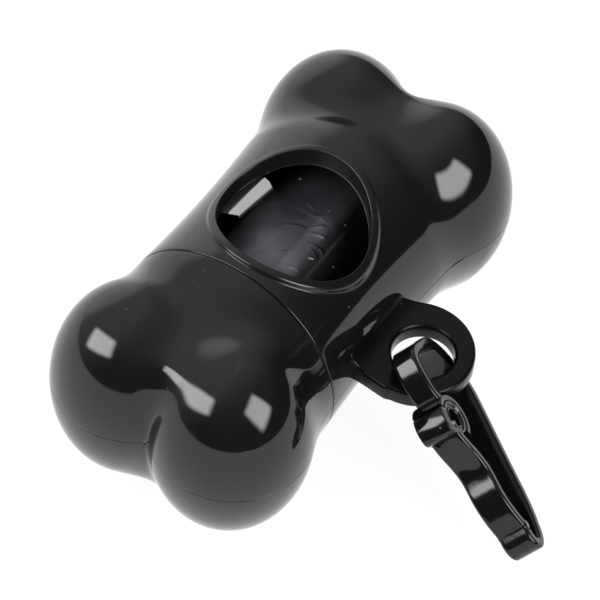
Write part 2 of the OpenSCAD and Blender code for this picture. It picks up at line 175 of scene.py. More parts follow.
# A node tree for one finish, lamp or room; settings go in before the sockets
class Finish:
    def __init__(self, tree):
        self.tree = tree
        self.tree.nodes.clear()

    def node(self, kind, settings=None, inputs=None, out=0):
        made = self.tree.nodes.new(kind)
        for key, value in (settings or {}).items():
            setattr(made, key, value)
        for key, value in (inputs or {}).items():
            if isinstance(value, Sock):
                self.tree.links.new(value.socket, made.inputs[key])
            else:
                made.inputs[key].default_value = value
        return Sock(self.tree, made.outputs[out] if len(made.outputs) else None)

    def place(self):
        return self.node("ShaderNodeTexCoord", out="Object")

    def stretched(self, at, x, y, z):
        return self.node("ShaderNodeMapping", inputs={"Vector": at, "Scale": (x, y, z)})

    def noise(self, at, scale, detail=2.0, rough=0.5, distort=0.0):
        return self.node("ShaderNodeTexNoise", inputs={"Vector": at, "Scale": scale, "Detail": detail,
                                                       "Roughness": rough, "Distortion": distort})

    def between(self, value, low, high, toLow=0.0, toHigh=1.0):
        return self.node("ShaderNodeMapRange", {"interpolation_type": "SMOOTHSTEP"},
                         {"Value": value, "From Min": low, "From Max": high, "To Min": toLow, "To Max": toHigh})

    def towards(self, at, direction):
        return self.node("ShaderNodeVectorMath", {"operation": "DOT_PRODUCT"}, {0: at, 1: direction}, "Value")

    def blend(self, mask, one, two):  # 0, 6, 7 and 2 are the colour form's factor, A, B and result
        return self.node("ShaderNodeMix", {"data_type": "RGBA"}, {0: mask, 6: one, 7: two}, 2)

    def bump(self, height, strength, distance, under=None):
        inputs = {"Height": height, "Strength": strength, "Distance": distance}
        if under is not None:
            inputs["Normal"] = under
        return self.node("ShaderNodeBump", inputs=inputs)

    def plastic(self, inputs):
        surface = self.node("ShaderNodeBsdfPrincipled", inputs=inputs)
        self.node("ShaderNodeOutputMaterial", inputs={"Surface": surface})


def newMaterial(name):
    material = bpy.data.materials.new(name)
    material.use_nodes = True
    return material, Finish(material.node_tree)


# Camera, fitted to the photograph in the CAD frame
cameraFit = {
    "at": (-316.90, -177.30, 475.56), "right": (0.5540, -0.8299, 0.0646),
    "up": (0.6429, 0.4758, 0.5999), "back": (-0.5287, -0.2909, 0.7974),
    "lens": 221.3, "sensor": 36.0, "nearest": 50, "furthest": 20000,
}


def makeCamera(fit):
    data = bpy.data.cameras.new("photoCamera")
    data.lens, data.sensor_width = fit["lens"], fit["sensor"]
    data.clip_start, data.clip_end = fit["nearest"] * mm, fit["furthest"] * mm
    camera = bpy.data.objects.new("photoCamera", data)
    bpy.context.scene.collection.objects.link(camera)
    turn = Matrix((fit["right"], fit["up"], fit["back"])).transposed().to_4x4()
    camera.matrix_world = Matrix.Translation(Vector(fit["at"]) * mm) @ turn
    bpy.context.scene.camera = camera


print("frame loaded,", len(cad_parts), "nodes")
makeCamera(cameraFit)
print("camera set")

# Finishes
finishes = {
    "shell": {"colour": (0.0048, 0.0046, 0.0054, 1), "dust": (0.10, 0.10, 0.105, 1), "gloss": 0.05, "scuffed": 0.14},
    "tab": {"colour": (0.0026, 0.0026, 0.0030, 1), "dust": (0.08, 0.08, 0.085, 1), "gloss": 0.19, "shine": 0.2},
    "clip": {"colour": (0.0034, 0.0034, 0.0040, 1), "dust": (0.10, 0.10, 0.105, 1), "gloss": 0.07, "shine": 0.5},
    # film: the lighter colour is painted light; the first pair of edges bounds a painted shade and the second a painted
    # highlight band
    "film": {"dark": (0.0045, 0.0045, 0.006, 1), "paintedLight": (0.17, 0.166, 0.186, 1), "white": (0.34, 0.34, 0.35, 1),
             "gloss": 0.22, "shadedSide": (-5.4, -4.0), "highlightBand": (-4.4, -1.0)},
    "looseFilm": {"dark": (0.010, 0.010, 0.012, 1), "light": (0.03, 0.03, 0.033, 1), "gloss": 0.07},
    "card": {"dark": (0.33, 0.24, 0.15, 1), "light": (0.50, 0.39, 0.26, 1)},
}


def makeShellPlastic(name, look, rim):
    material, f = newMaterial(name)
    at = f.place()
    haze = f.between(f.noise(at, 60, 3, 0.55), 0.45, 0.7)
    smear = f.between(f.noise(f.stretched(at, 0.3, 1.0, 1.0), 170, 4, 0.62, 0.7), 0.56, 0.72)
    speck = f.between(f.noise(at, 950, 1, 0.4), 0.80, 0.83)
    hairline = f.between(f.noise(f.stretched(at, 0.16, 1.2, 1.0), 640, 3, 0.5, 1.5), 0.66, 0.70)
    away = f.node("ShaderNodeVectorMath", {"operation": "DISTANCE"},
                  {0: f.stretched(at, 1, 1, 0), 1: (rim["x"] * mm, rim["y"] * mm, 0)}, "Value")
    inner, outer = (rim["radius"] - 1) * mm, (rim["radius"] + rim["rimWidth"] + 0.7) * mm
    band = f.between(away, inner, inner + 0.0007) * f.between(away, outer, outer - 0.0005)
    band = band * f.between(f.towards(at, (0, 0, 1)), 0.010, 0.012)  # the rim on top is moulded duller
    flow = f.bump(f.noise(at, 26, 1, 0.4), 0.09, 0.0008)
    f.plastic({"Base Color": f.blend(speck * 0.5 + hairline * 0.05, look["colour"], look["dust"]),
               "Roughness": look["gloss"] + 0.035 * haze + look["scuffed"] * smear * 0.4 + speck * 0.3 + band * 0.13,
               "IOR": 1.5, "Normal": f.bump(f.noise(at, 380, 3, 0.5), 0.02, 0.00014, flow)})
    return material


def makeClipPlastic(name, look):
    material, f = newMaterial(name)
    at = f.place()
    grain = f.noise(at, 1300, 2, 0.6)
    wear = f.between(f.noise(at, 130, 3, 0.6), 0.5, 0.72)
    speck = f.between(f.noise(at, 820, 1, 0.4), 0.79, 0.82)
    flow = f.bump(f.noise(at, 150, 2, 0.5), 0.10, 0.0003)
    f.plastic({"Base Color": f.blend(speck * 0.5, look["colour"], look["dust"]),
               "Roughness": look["gloss"] + wear * 0.09 + grain * 0.03,
               "IOR": 1.47, "Specular IOR Level": look["shine"], "Normal": f.bump(grain, 0.05, 0.0001, flow)})
    return material


def makeFilm(name, look):
    material, f = newMaterial(name)
    at = f.place()
    crease = f.noise(f.stretched(at, 1.0, 0.35, 0.35), 260, 5, 0.62, 1.2)
    fold = f.noise(at, 110, 3, 0.5, 0.8)
    cloud = f.between(f.noise(at, 85, 3, 0.6), 0.3, 0.75)
    speck = f.between(f.noise(at, 620, 1, 0.4), 0.77, 0.81)
    side = f.towards(at, (0, 1, 0))
    # Edges of the painted shade, from where it starts to where it has faded out, and of the painted highlight band,
    # across the film
    shadeStart, slack = [c * mm for c in look["shadedSide"]]
    near, far = [c * mm for c in look["highlightBand"]]
    clear = f.between(side, shadeStart, slack)  # painted shade: past this line, towards -y, the film is left dark where shade falls on it
    # painted highlight: a band along the roll is painted lighter
    pale = f.between(side, near, near + 0.001) * f.between(side, far, far - 0.001)
    pale = pale * f.between(f.towards(at, (1, 0, 0)), 0.003, 0.0085, 1, 0.1)  # the painted highlight band fades towards the far end
    rise = f.between(f.towards(at, (0.8, -0.6, 0)), -0.009, 0.003, 1, 0.12)  # painted light: lighter on the left, where the light falls, and darker to the right
    # painted light and shade: the lighter tone lies on the left and in the band, never on the shaded side
    paintedLight = clear * (0.35 * rise + 0.4 * rise * cloud + 0.26 * pale * cloud + 0.06 * pale)
    f.plastic({"Base Color": f.blend(speck * 0.7, f.blend(paintedLight, look["dark"], look["paintedLight"]), look["white"]),
               "Roughness": look["gloss"] + 0.2 * paintedLight, "IOR": 1.5,
               "Normal": f.bump(fold, 0.3, 0.0010, f.bump(crease, 0.35, 0.0004))})
    return material


def makeLooseFilm(name, look):
    material, f = newMaterial(name)
    at = f.place()
    ripple = f.noise(f.stretched(at, 0.5, 1, 1), 300, 3, 0.55, 0.5)
    f.plastic({"Base Color": f.blend(ripple, look["dark"], look["light"]),
               "Roughness": look["gloss"] + 0.08 * f.between(ripple, 0.5, 0.7), "IOR": 1.6,
               "Normal": f.bump(ripple, 0.12, 0.0002)})
    return material


def makeCard(name, look):
    material, f = newMaterial(name)
    fibre = f.noise(f.place(), 700, 5, 0.7)
    f.plastic({"Base Color": f.blend(fibre, look["dark"], look["light"]), "Roughness": 0.9,
               "Normal": f.bump(fibre, 0.3, 0.0002)})
    return material


# Bag hole: its raised rim, its wall, and how far round it the shell's own grid is cut away
bagHole = {
    "x": -0.75, "y": -0.74, "radius": 12.4, "rimWidth": 1.35, "rimHeight": 0.8, "foot": 0.3, "crown": 0.42, "lip": 0.26,
    "depth": 3.1, "collar": 1.1, "ledge": 0.22, "ledgeHeight": 0.5, "ledgeRound": 0.16, "mouthRound": 0.15,
    "reachLeft": 0.75, "reachRight": 1.2, "spread": 54,
}
shellPlastic = makeShellPlastic("polishedBlackPlastic", finishes["shell"], bagHole)
bagFilm = makeFilm("crinkledBagFilm", finishes["film"])
looseFilm = makeLooseFilm("smoothBagFilm", finishes["looseFilm"])
tabPlastic = makeClipPlastic("satinBlackPlastic", finishes["tab"])
coreCard = makeCard("plainCard", finishes["card"])
print("finishes made")

# Shell halves of body and cap
shell = {
    "seam": 15.9, "seamGap": 0.12, "seamRound": 0.2, "partRound": 0.1, "fanX": 25.7,
    "neckZ": -0.4, "neckRadius": 15.3, "neckWall": 1.4, "neckLength": 3.3,
    "bead": 0.12, "beadAt": 2.5, "beadRound": 0.4,
    "socketRadius": 15.48, "socketWall": 1.0, "socketLength": 2.0, "web": 1.0,
}


# How far a rounded edge falls in at a distance from it
def edgeDrop(distance, radius):
    near = np.clip(radius - distance, 0, radius)
    return radius - np.sqrt(radius**2 - near**2)


# Turns in degrees round the waist, closer together towards the parting line
def spacedTurns():
    apart = (0, 0.012, 0.035, 0.07, 0.1, 0.25, 0.55)  # from the parting line, along a skin of radius 20
    edge = [math.degrees(d / 20) for d in apart]
    inner = np.linspace(2.5, 90, max(int(35 / fine), 12))
    half = np.concatenate([edge, inner])
    return np.concatenate([half, 180 - half[::-1][1:]])


# Where rays from the long axis meet the bone's skin
def skinGrid(xs, tilts, turns, side):
    t, a = np.radians(tilts)[:, None], np.radians(turns)[None, :]
    rays = np.stack(np.broadcast_arrays(np.cos(t), np.sin(t) * np.cos(a), side * np.sin(t) * np.sin(a)), -1)
    starts = np.zeros_like(rays)
    starts[..., 0] = np.asarray(xs)[:, None]
    return starts + reach(starts, rays)[..., None] * rays


# Moves points inwards, and keeps those at the seam or the parting plane in it
def flatOffset(points, depth, flatX, flatZ):
    n = boneNormal(points)
    n = n * np.stack([~flatX, np.ones_like(flatX), ~flatZ], -1)
    return points - depth[..., None] * n / np.maximum((n * n).sum(-1, keepdims=True), 1e-6)


# Outer and inner skin of one half, closed at the seam and along the parting plane
def halfShell(startX, side, mouthRadius, hole=None):
    turns = spacedTurns()
    near = [0, 0.03, 0.08, 0.14, 0.2, 0.4]
    if hole:
        rimR = hole["radius"] + hole["rimWidth"]
        left, right = hole["x"] - rimR - hole["reachLeft"], hole["x"] + rimR + hole["reachRight"]
        frameX = np.linspace(left, right, int(36 / fine))
        beyond = np.linspace(frameX[-1], shell["fanX"], int(13 / fine) + 1)[1:]
        straight = np.concatenate([startX + np.array(near), frameX, beyond])
    else:
        straight = np.concatenate([startX + np.array(near), np.linspace(startX + 0.9, shell["fanX"], int(12 / fine))])
    tilts = np.linspace(90, 0, int(30 / fine) + 1)[1:]
    xs = np.concatenate([straight, np.full(len(tilts), shell["fanX"])])
    tilts = np.concatenate([np.full(len(straight), 90.0), tilts])
    square = np.repeat((tilts == 90)[:, None], len(turns), 1)
    flat = np.zeros((len(xs), len(turns)), bool)
    flat[:, [0, -1]] = True

    outer = skinGrid(xs, tilts, turns, side)
    never, always = np.zeros_like(flat), np.ones_like(flat)
    outer = flatOffset(outer, edgeDrop(np.abs(outer[..., 2]), shell["partRound"]), never, always)
    outer = flatOffset(outer, edgeDrop(outer[..., 0] - startX, shell["seamRound"]), always, flat)
    back = startX + shell["web"]
    innerX = np.where(xs < back + 0.3, back + 0.004 * np.arange(len(xs)), xs)
    inner = skinGrid(innerX, tilts, turns, side)
    inner = flatOffset(inner, np.full(flat.shape, boneShape["wall"]), square, flat)

    m = Mould()
    out, inn = m.add(outer), m.add(inner)
    keep = np.ones((len(xs) - 1, len(turns) - 1), bool)
    if hole:
        i0 = len(near)
        i1 = i0 + len(frameX) - 1
        middle = len(turns) // 2
        span = int(np.sum(np.abs(turns - 90) <= hole["spread"])) // 2
        j0, j1 = middle - span, middle + span
        keep[i0:i1, j0:j1] = False
    m.skin(out, flip=side < 0, keep=keep)
    m.skin(inn, flip=side > 0, keep=keep)
    a = np.radians(turns)
    t = shell["neckZ"] * side * np.sin(a) + np.sqrt(mouthRadius**2 - (shell["neckZ"] * np.cos(a)) ** 2)
    rings = [np.stack([np.full_like(a, x), t * np.cos(a), side * t * np.sin(a)], -1) for x in (startX, back)]
    front, rear = m.add(rings[0]), m.add(rings[1])
    m.skin(np.stack([out[0], front, rear, inn[0]]))
    for j in (0, -1):
        m.skin(np.stack([out[:, j], inn[:, j]]))
    if hole:
        addHole(m, hole, outer, inner, out, inn, i0, i1, j0, j1)
    return m


def topHeight(x, y, level=0.0):
    starts = np.stack([x, y, np.zeros_like(x)], -1)
    return reach(starts, np.array([0.0, 0.0, 1.0]), level)


def arc(x, z, radius, start, end, count):
    return [(x + radius * math.cos(t), z + radius * math.sin(t)) for t in np.radians(np.linspace(start, end, count))]


# Section of the raised rim and the hole's wall: radius, height above the skin
def rimSection(hole):
    r, rim, h = hole["radius"], hole["radius"] + hole["rimWidth"], hole["rimHeight"]
    foot, crown, lip, ledge = hole["foot"], hole["crown"], hole["lip"], hole["ledge"]
    top, ledgeRound, mouthRound = hole["ledgeHeight"] - hole["depth"], hole["ledgeRound"], hole["mouthRound"]
    return np.array(arc(rim + foot, foot, foot, 270, 180, 6) + arc(rim - crown, h - crown, crown, 0, 90, 8)
                    + arc(r + lip, h - lip, lip, 90, 180, 6) + [(r, -0.6), (r, -1.6)]
                    + arc(r - ledge + ledgeRound, top - ledgeRound, ledgeRound, 90, 180, 6)
                    + arc(r - ledge + mouthRound, mouthRound - hole["depth"], mouthRound, 180, 270, 4)
                    + [(r + hole["collar"] * 0.8, -hole["depth"])])


# Rings of points from the outer skin over the rim and down the hole's wall to the inner skin
def addHole(m, hole, outer, inner, out, inn, i0, i1, j0, j1):
    walk = ([(i, j0) for i in range(i0, i1)] + [(i1, j) for j in range(j0, j1)]
            + [(i, j1) for i in range(i1, i0, -1)] + [(i0, j) for j in range(j1, j0, -1)])
    rows, cols = np.array(walk).T
    frameOut, frameIn = outer[rows, cols], inner[rows, cols]
    bearing = np.arctan2(frameOut[:, 1] - hole["y"], frameOut[:, 0] - hole["x"])
    ring = np.stack([np.cos(bearing), np.sin(bearing)], -1)
    centre = np.array([hole["x"], hole["y"]])
    section = rimSection(hole)
    grids = []
    for share in np.linspace(1, 0, 10)[1:-1]:
        flat = centre + section[0, 0] * ring
        at = flat + (frameOut[:, :2] - flat) * share
        grids.append(np.column_stack([at, topHeight(at[:, 0], at[:, 1])]))
    for radius, height in section:
        at = centre + radius * ring
        grids.append(np.column_stack([at, topHeight(at[:, 0], at[:, 1]) + height]))
    for share in (0, 0.3, 0.65):
        flat = centre + (hole["radius"] + hole["collar"]) * ring
        at = flat + (frameIn[:, :2] - flat) * share
        grids.append(np.column_stack([at, topHeight(at[:, 0], at[:, 1], -boneShape["wall"])]))
    ids = m.add(np.array(grids))
    ids = np.vstack([out[rows, cols][None], ids, inn[rows, cols][None]])
    m.skin(ids, wrap=True)


# A ring section (radius, x) turned about the neck's axis and cut at the parting plane
def halfTurn(m, section, side, count=72):
    section = np.asarray(section, float)
    a = np.radians(np.linspace(-3, 183, int(count / fine)))
    y = section[:, 0:1] * np.cos(a)
    z = np.maximum(shell["neckZ"] * side + section[:, 0:1] * np.sin(a), 0)
    ids = m.add(np.stack([np.repeat(section[:, 1:2], len(a), 1), y, side * z], -1))
    m.skin(np.vstack([ids, ids[:1]]))
    for end in (0, -1):
        m.fan(ids[0, end], ids[1:, end], wrap=False)


# Upright round boss or pin, rounded at its far end z1, with or without a blind hole from z0
def roundedPost(m, x, y, z0, z1, radius, edge, hole=0.0, depth=0.0, sides=28):
    up = 1 if z1 > z0 else -1
    a = np.linspace(0, 2 * math.pi, sides, endpoint=False)
    rings = [(hole, z0 + up * depth), (hole, z0)] if hole else [(0.02, z0)]
    rings += [(radius, z0), (radius, z1 - up * edge)]
    rings += [(radius - edge + edge * math.cos(t), z1 - up * edge + up * edge * math.sin(t)) for t in (0.5, 1.0, 1.57)]
    rings += [(0.02, z1)]
    ids = m.add([[(x + r * math.cos(t), y + r * math.sin(t), z) for t in a] for r, z in rings])
    m.skin(ids, wrap=True)
    for row, z in ((0, z0 + up * depth), (-1, z1)):
        centre = m.add([(x, y, z)])
        m.fan(int(centre[0]), ids[row])


# Joining pins of the bottom halves and the bosses that take them
pins = {"radius": 0.8, "length": 3.0, "root": 0.1, "round": 0.2, "bossRadius": 1.7, "bossHeight": 5.0,
        "bossRound": 0.3, "bossGap": 0.02, "holeRadius": 0.85, "holeDepth": 3.3,
        "intoWall": 0.6, "spread": 10, "inset": 2.9, "knobTurn": 42}
knobReach = boneShape["knobRadius"] - boneShape["wall"] - pins["bossRadius"] + pins["intoWall"]
knobTurn = math.radians(pins["knobTurn"])
bodyPins = [(x, s * (boneShape["waistHalfWidth"] - pins["inset"]))
            for x in (-pins["spread"], pins["spread"]) for s in (-1, 1)]
knobPins = [(boneShape["knobX"] + knobReach * math.cos(knobTurn),
             s * (boneShape["knobY"] + knobReach * math.sin(knobTurn))) for s in (-1, 1)]


def addBosses(m, places, side):
    gap, height, radius, edge = pins["bossGap"], pins["bossHeight"], pins["bossRadius"], pins["bossRound"]
    for x, y in places:
        if side > 0:
            roundedPost(m, x, y, gap, height, radius, edge, pins["holeRadius"], pins["holeDepth"])
        else:
            roundedPost(m, x, y, -gap, -height, radius, edge)
            roundedPost(m, x, y, -pins["root"], pins["length"], pins["radius"], pins["round"])


# Section of the neck, from its root inside the body round the tip and over the bead
def neckSection():
    r, inner = shell["neckRadius"], shell["neckRadius"] - shell["neckWall"]
    root, tip = -shell["seam"] + shell["web"] + 0.4, -shell["seam"] - shell["neckLength"]
    at, size = -shell["seam"] - shell["beadAt"], shell["beadRound"]
    middle = r + shell["bead"] - size
    bead = [(middle + size * math.sin(t), at + size * math.cos(t)) for t in np.linspace(0.8, 2.34, 9)]
    return [(inner, root), (inner, tip + 0.2), (inner + 0.06, tip + 0.06), (inner + 0.2, tip), (r - 0.3, tip),
            (r - 0.08, tip + 0.08), (r, tip + 0.3)] + bead[::-1] + [(r, root)]


def socketSection():
    r, w = shell["socketRadius"], shell["socketWall"]
    start, end = -shell["seam"] - 0.1, -shell["seam"] - shell["socketLength"]
    return [(r + 0.15, start), (r, start - 0.15), (r, end + 0.1), (r + 0.1, end), (r + w - 0.15, end),
            (r + w, end + 0.15), (r + w, start)]


def mirrorX(m):
    m.points = [p * np.array([-1.0, 1.0, 1.0]) for p in m.points]


def makeShells():
    neckMid = shell["neckRadius"] - shell["neckWall"] / 2
    socketMid = shell["socketRadius"] + shell["socketWall"] / 2
    for side, word in ((1, "Top"), (-1, "Bottom")):
        m = halfShell(-shell["seam"] + shell["seamGap"] / 2, side, neckMid, bagHole if side > 0 else None)
        halfTurn(m, neckSection(), side)
        addBosses(m, bodyPins + knobPins, side)
        makePiece("bodyShell" + word, m, "body", shellPlastic,
                  replaced=("body_top_shell" if side > 0 else "body_bottom_shell",))
        m = halfShell(shell["seam"] + shell["seamGap"] / 2, side, socketMid)
        mirrorX(m)
        halfTurn(m, socketSection(), side)
        addBosses(m, [(-x, y) for x, y in knobPins], side)
        makePiece("capShell" + word, m, "cap", shellPlastic,
                  replaced=("cap_top_shell" if side > 0 else "cap_bottom_shell",))


makeShells()
print("shells made")

# Side tab with its eye
tab = {"thick": 3.6, "x": -0.6, "y": -25.5, "radius": 9.35, "rootFar": 4.0, "rootY": -17.3, "rootDeep": 6, "lift": 0.02,
       "eyeX": -0.7, "eyeY": -26.7, "eyeRadius": 5.1, "edge": 0.7, "eyeEdge": 0.8, "fillet": 3.5, "notch": 1.2}


def tabOutline(x, y):
    disc = np.hypot(x - tab["x"], y - tab["y"]) - tab["radius"]
    left, right = tab["x"] - tab["radius"], tab["rootFar"]
    dx = np.maximum(left - x, x - right)
    dy = np.maximum(tab["y"] - y, y - (tab["rootY"] + tab["rootDeep"]))
    inside = np.maximum(dx, dy)
    block = np.where(inside < 0, inside, np.hypot(np.maximum(dx, 0), np.maximum(dy, 0)))
    return smoothMin(disc, block, tab["notch"])


# Height of the tab's top, with the hollow that rounds up to the shell
def tabTop(x, y):
    r, z = tab["fillet"], tab["thick"] + tab["fillet"]
    starts = np.stack([x, np.zeros_like(x), np.full_like(x, z)], -1)
    line = -reach(starts, np.array([0.0, -1.0, 0.0]), r)
    centre = np.stack([x, line, np.full_like(x, z)], -1)
    touch = centre - r * boneNormal(centre)
    rise = z - np.sqrt(np.maximum(r**2 - np.clip(y - line, 0, r) ** 2, 0))
    return np.where(y > touch[:, 1], touch[:, 2], np.where(y > line, rise, tab["thick"]))


def makeTab():
    a = np.radians(np.arange(0, 360, 1.5 * fine))
    ring = np.stack([np.cos(a), np.sin(a)], -1)
    eye = np.array([tab["eyeX"], tab["eyeY"]])
    low, high = np.full(len(a), tab["eyeRadius"]), np.full(len(a), 26.0)
    for _ in range(30):
        mid = (low + high) / 2
        at = eye + mid[:, None] * ring
        outside = (tabOutline(at[:, 0], at[:, 1]) > 0) | (at[:, 1] > tab["rootY"])
        high, low = np.where(outside, mid, high), np.where(outside, low, mid)
    end = (low + high) / 2
    edge, eyeEdge, lift = tab["edge"], tab["eyeEdge"], tab["lift"]
    quarter = np.linspace(0, math.pi / 2, 8)
    rows = []

    def row(radius, drop, top=True):
        at = eye + radius[:, None] * ring
        z = tabTop(at[:, 0], at[:, 1]) - drop if top else np.full(len(a), drop)
        rows.append(np.column_stack([at, z]))

    inner = np.full(len(a), tab["eyeRadius"])
    for q in quarter:  # eye's upper edge
        row(inner + eyeEdge * (1 - math.cos(q)), eyeEdge * (1 - math.sin(q)))
    for share in np.linspace(0, 1, 16)[1:-1]:
        row((inner + eyeEdge) * (1 - share) + (end - edge) * share, 0)
    for q in quarter[::-1]:  # outer upper edge
        row(end - edge * (1 - math.cos(q)), edge * (1 - math.sin(q)))
    for q in quarter:  # outer lower edge
        row(end - edge * (1 - math.cos(q)), edge * (1 - math.sin(q)) + lift, False)
    for share in np.linspace(1, 0, 6)[1:-1]:
        row((inner + eyeEdge) * (1 - share) + (end - edge) * share, lift, False)
    for q in quarter[::-1]:  # eye's lower edge
        row(inner + eyeEdge * (1 - math.cos(q)), eyeEdge * (1 - math.sin(q)) + lift, False)
    m = Mould()
    ids = m.add(np.array(rows))
    m.skin(np.vstack([ids, ids[:1]]), wrap=True)
    makePiece("sideTab", m, "body", tabPlastic, sharp=50)


makeTab()
print("tab made")

# Snap clip: s runs along it away from the tab, t across it, w along the strap's width
clip = {
    "at": (-1.0, -27.2, 1.65), "along": (-0.3944, -0.8372, -0.3787), "across": (-0.7526, 0.0578, 0.656),
    "lift": -0.2, "thick": 1.8, "gateThick": 1.53, "width": 5.3, "corner": 0.5, "gateCorner": 0.45,
    "catch": (10.9, 6.3), "catchRadius": 4.1, "cupCorner": 0.3, "cupStart": 132, "cupEnd": 327, "play": 0.1,
    "headRadius": 2.9, "headEdge": 0.22, "headHole": 1.5, "holeEdge": 0.3, "groove": (1.8, 1.95, 2.3, 2.45),
    "grooveDepth": 0.25, "swell": 1.12, "swellTurn": (28, 131), "swellRamp": (34, 8), "swellFrom": 2.6,
    "hinge": (30.7, 0.3), "hingeRadius": 0.9, "hingeEdge": 0.2, "hingePlay": 0.08,
    "eyeWidth": 4.1, "backTwist": 0.22, "routeSteps": 8,
}
# Places s, t along the hook from its lip round to the far bend, and along the gate from there back
hookRoute = [(7.4, 6.6), (6.95, 7.6), (5.6, 8.3), (3.5, 8.75), (1.4, 8.95), (-0.3, 8.6), (-1.3, 7.2), (-1.8, 4.9),
             (-2.3, 1.3), (-1.2, -1.1), (1.5, -3.5), (4.8, -5), (7.8, -5.3), (10.6, -5.2), (13.6, -5), (17.3, -4.8),
             (21.3, -4.6), (25, -4.5), (28.5, -4.4), (30.8, -4), (32.8, -3.3), (34, -2), (33.7, -0.6),
             (32.5, 0.2), (31.5, 0.3)]
gateRoute = [(30.7, 0.3), (29.4, 1.1), (27.6, 2.05), (25.6, 2.75), (23.6, 3.05), (21.8, 3.0), (20.2, 3.15),
             (18.6, 3.75), (17, 4.7), (15.6, 5.75), (14.2, 6.6), (12.8, 7.2), (11.4, 7.3)]
# Which route places the narrowing in the eye and the back's twist take in, and how much of them
slimPlaces = ((0, 0.7), (3, 1), (5, 1), (8, 0))
twistPlaces = ((10, 0), (12, 1), (17, 1), (19, 0))
gateDips = [(15.4, 0.2, 1.3, 0.16), (18.9, 0.3, 1.5, 0.2)]  # s, w, size and depth: soft hollows in its outer face


def clipFrame():
    along = unit(np.array(clip["along"]))
    across = np.array(clip["across"])
    across = unit(across - (across @ along) * along)
    return along, across, np.cross(along, across)


# From s, t, w to the object's own frame
def toClip(points):
    along, across, width = clipFrame()
    points = np.asarray(points, float)
    return (np.array(clip["at"]) + points[..., 0:1] * along + points[..., 1:2] * across
            + (points[..., 2:3] + clip["lift"]) * width)


def smoothRoute(route, parts):
    r = np.array(route, float)
    r = np.vstack([r[0], r, r[-1]])
    line = []
    for i in range(len(r) - 3):
        a, b, c, d = r[i:i + 4]
        for f in np.arange(parts) / parts:
            line.append(0.5 * (2 * b + (c - a) * f + (2 * a - 5 * b + 4 * c - d) * f**2
                               + (3 * b - a - 3 * c + d) * f**3))
    line.append(r[-2])
    line = np.array(line)
    for _ in range(3):  # evens out the listed points
        line[1:-1] = line[1:-1] * 0.5 + (line[:-2] + line[2:]) * 0.25
    return line


# An amount along a route, given at some of its places
def amountAlong(line, places):
    at, amounts = np.array(places, float).T
    return np.interp(np.arange(len(line)), at * clip["routeSteps"], amounts)[:, None]


# Rounded rectangle, with extra points over its two wide faces
def strapSection(thick, width, corner, steps=5, wide=13):
    halfThick, halfWidth = thick / 2 - corner, width / 2 - corner
    pts = []
    for quadrant, (sx, sy) in enumerate(((1, 1), (-1, 1), (-1, -1), (1, -1))):
        for q in np.linspace(0, math.pi / 2, steps):
            t = q + quadrant * math.pi / 2
            pts.append((sx * halfThick + corner * math.cos(t), sy * halfWidth + corner * math.sin(t)))
        if quadrant % 2:
            pts += [(sx * thick / 2, sy * y) for y in np.linspace(halfWidth, -halfWidth, wide)[1:-1]]
    return np.array(pts)


# A section carried along a line in the clip's plane
def sweep(line, section):
    course = np.gradient(line, axis=0)
    course = course / np.linalg.norm(course, axis=1, keepdims=True)
    across = np.stack([-course[:, 1], course[:, 0]], -1)
    grid = np.zeros((len(line), len(section), 3))
    grid[..., :2] = line[:, None] + across[:, None] * section[None, :, 0:1]
    grid[..., 2] = section[None, :, 1]
    return grid


def closeSweep(m, grid):
    ids = m.add(toClip(grid))
    m.skin(ids, wrap=True)
    for end in (0, -1):
        centre = m.add(toClip(grid[end].mean(0))[None])
        m.fan(int(centre[0]), ids[end], flip=end == 0)


# A section (radius, w) turned about w at a place in the clip's plane; grown swells its outside over some turns
def lathe(m, centre, section, count=64, grown=None):
    a = np.linspace(0, 2 * math.pi, int(count / fine), endpoint=False)
    radii = np.repeat(np.array(section)[:, 0:1], len(a), 1)
    if grown:
        (start, end), (rampIn, rampOut) = grown["swellTurn"], grown["swellRamp"]
        ramp = np.clip(np.minimum((np.degrees(a) - start) / rampIn, (end - np.degrees(a)) / rampOut), 0, 1)
        radii = radii + grown["swell"] * ramp * ramp * (3 - 2 * ramp) * (radii > grown["swellFrom"])
    grid = np.stack([centre[0] + radii * np.cos(a), centre[1] + radii * np.sin(a),
                     np.repeat(np.array(section)[:, 1:2], len(a), 1)], -1)
    ids = m.add(toClip(grid))
    m.skin(ids, wrap=True)
    for row in (0, -1) if section[0][0] < 0.1 else ():  # a solid pin is closed at both ends
        middle = m.add(toClip([[*centre, section[row][1]]]))
        m.fan(int(middle[0]), ids[row])


# The half of a section at positive w, and its mirror image
def mirrored(half):
    return half + [(r, -w) for r, w in reversed(half)]


def makeHook(material):
    hook = Mould()
    width, (hingeS, hingeT) = clip["width"], clip["hinge"]
    line = smoothRoute(hookRoute, clip["routeSteps"])
    grid = sweep(line, strapSection(clip["thick"], width, clip["corner"]))
    inEye = amountAlong(line, slimPlaces)
    slim = width - (width - clip["eyeWidth"]) * inEye * inEye * (3 - 2 * inEye)
    grid[..., 1] += clip["backTwist"] * amountAlong(line, twistPlaces) * grid[..., 2]
    grid[..., 2] = (grid[..., 2] + width / 2) * slim / width - width / 2
    seat = clip["hingeRadius"] + clip["hingePlay"]
    offset = np.clip(grid[-1, :, 1] - hingeT, -seat + 0.02, seat - 0.02)
    grid[-1, :, 0] = hingeS + np.sqrt(seat**2 - offset**2)  # end hollowed round the gate's end
    closeSweep(hook, grid)
    inner = clip["headRadius"] + clip["play"]
    mid, corner = (clip["catchRadius"] + inner) / 2, clip["cupCorner"]
    turns = np.radians(np.linspace(clip["cupStart"], clip["cupEnd"], int(60 / fine)))
    cup = np.array([(clip["catch"][0] + mid * math.cos(t), clip["catch"][1] + mid * math.sin(t)) for t in turns])
    closeSweep(hook, sweep(cup, strapSection(clip["catchRadius"] - inner, width + corner, corner)))
    makePiece("clipHook", hook, "clip", material, sharp=50, replaced=("clip_hook",))


